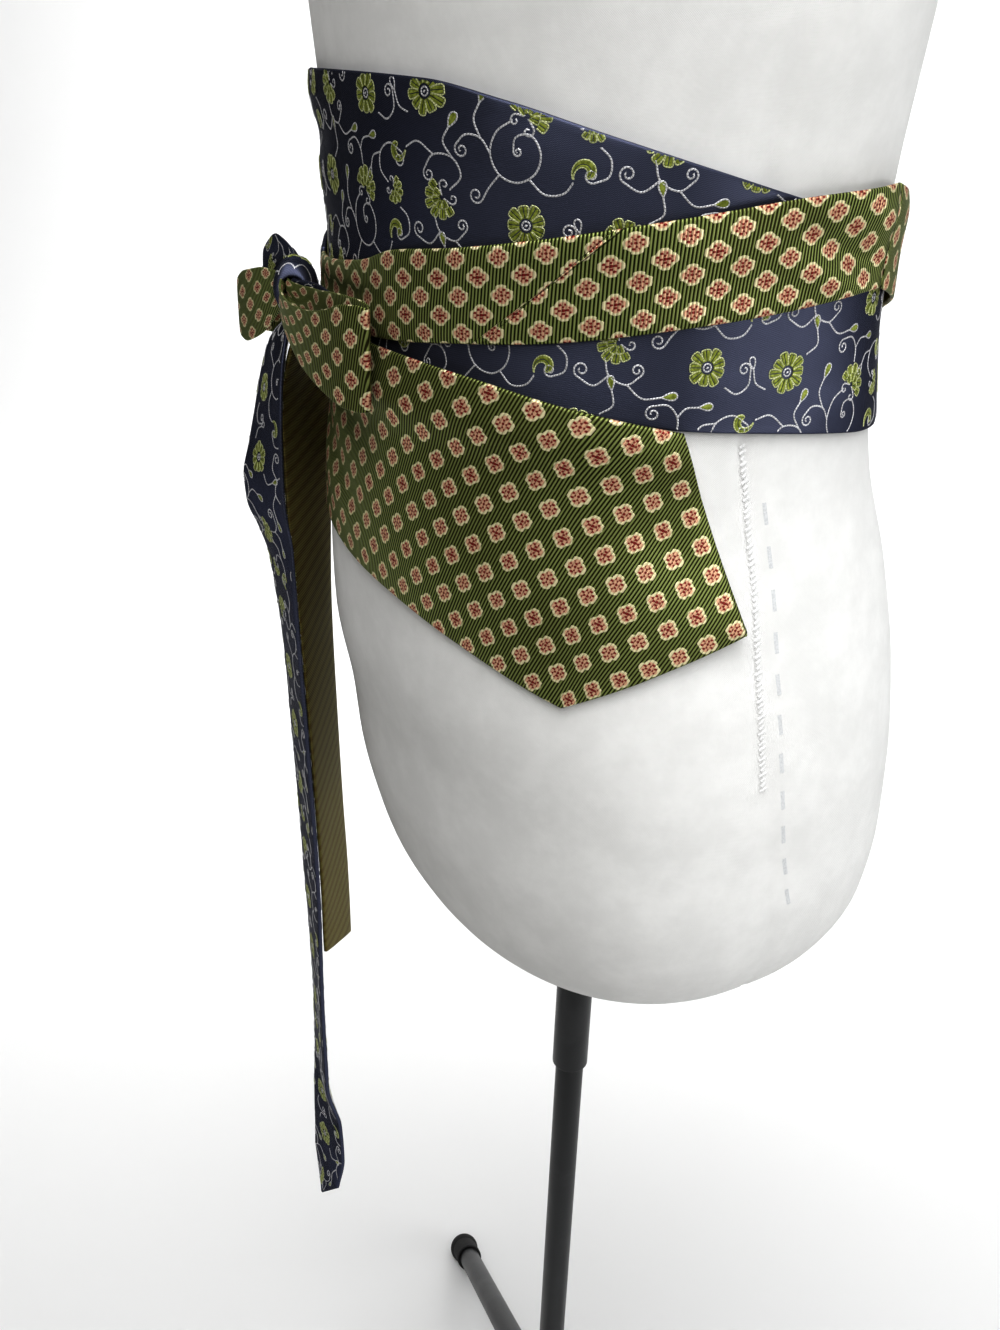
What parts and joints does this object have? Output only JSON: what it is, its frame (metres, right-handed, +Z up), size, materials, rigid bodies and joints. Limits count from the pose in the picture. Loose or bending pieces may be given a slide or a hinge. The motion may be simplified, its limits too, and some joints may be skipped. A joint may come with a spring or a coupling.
{
  "type": "obi belt on a dress form and tripod stand",
  "caption": "Waist belt wound from two neckties and tied in a bow at the front, worn on a limbless dress form on a tripod stand.",
  "frame": {"origin": "middle of the base of the box round the whole part, on the floor", "axes": "+Z up; the form's front faces -Y and its left side is towards +X"},
  "size_m": [0.4806, 0.4806, 1.2933],
  "materials": {
    "navy_brocade": "satin",
    "olive_twill": "satin",
    "form_cover": "matte",
    "stand_paint": "satin",
    "foot_rubber": "matte"
  },
  "bodies": {
    "root": {"navy_blade": "navy_brocade", "navy_neck": "navy_brocade", "bow_knot": "navy_brocade", "navy_loop_near": "navy_brocade", "navy_loop_far": "navy_brocade", "navy_tail": "navy_brocade", "olive_blade": "olive_twill", "olive_neck": "olive_twill", "olive_strap_left": "olive_twill", "olive_strap_right": "olive_twill", "olive_loop_near": "olive_twill", "olive_loop_far": "olive_twill", "olive_tail": "olive_twill", "form_body": "form_cover", "neck_cap": "form_cover", "form_socket": "stand_paint", "stand_pole": "stand_paint", "stand_hub": "stand_paint", "stand_leg_1": "stand_paint", "stand_leg_2": "stand_paint", "stand_leg_3": "stand_paint", "stand_foot_1": "foot_rubber", "stand_foot_2": "foot_rubber", "stand_foot_3": "foot_rubber"}
  },
  "joints": []
}
